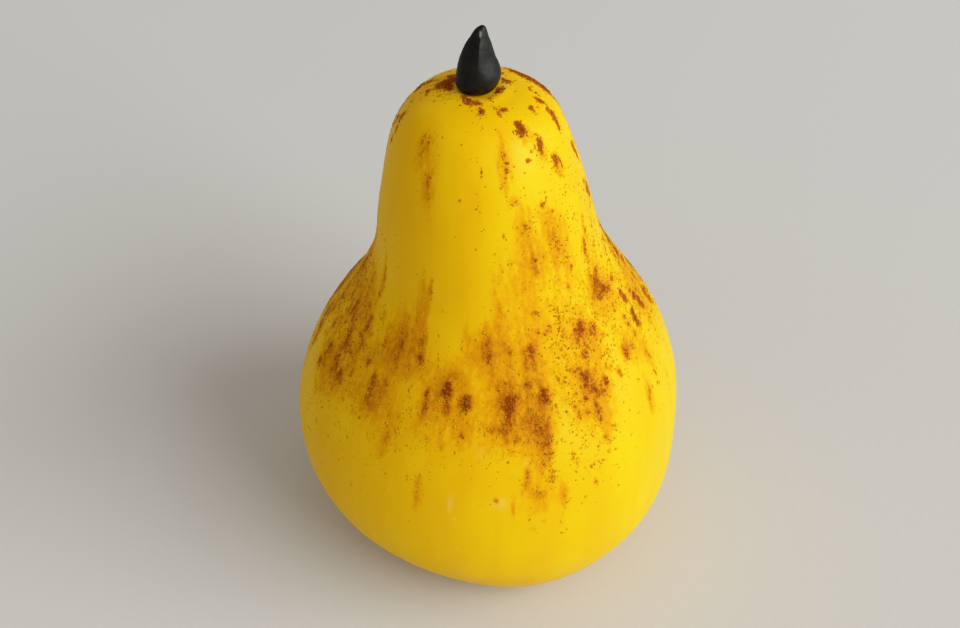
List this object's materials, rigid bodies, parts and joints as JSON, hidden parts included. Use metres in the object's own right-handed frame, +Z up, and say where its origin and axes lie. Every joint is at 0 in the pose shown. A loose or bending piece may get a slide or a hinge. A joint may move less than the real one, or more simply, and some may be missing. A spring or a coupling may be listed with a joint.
{
  "type": "pear-shaped glazed sweet",
  "caption": "Pear-shaped yellow glazed sweet dusted with brown powder, with a short black ridged stalk; stands upright on a small flat foot.",
  "frame": {"origin": "on the surface the sweet stands on, under the middle of the belly", "axes": "+Z up along the pear from foot to stalk, -Y towards the side that faces the viewer, +X to the viewer's right"},
  "size_m": [0.0721, 0.072, 0.1072],
  "materials": {
    "yellow_coat": "satin sugar glaze over a moulded sweet, dusted with brown powder",
    "black_stalk": "satin black chocolate"
  },
  "bodies": {
    "root": {"pear_body": "yellow_coat", "stalk": "black_stalk"}
  },
  "joints": []
}
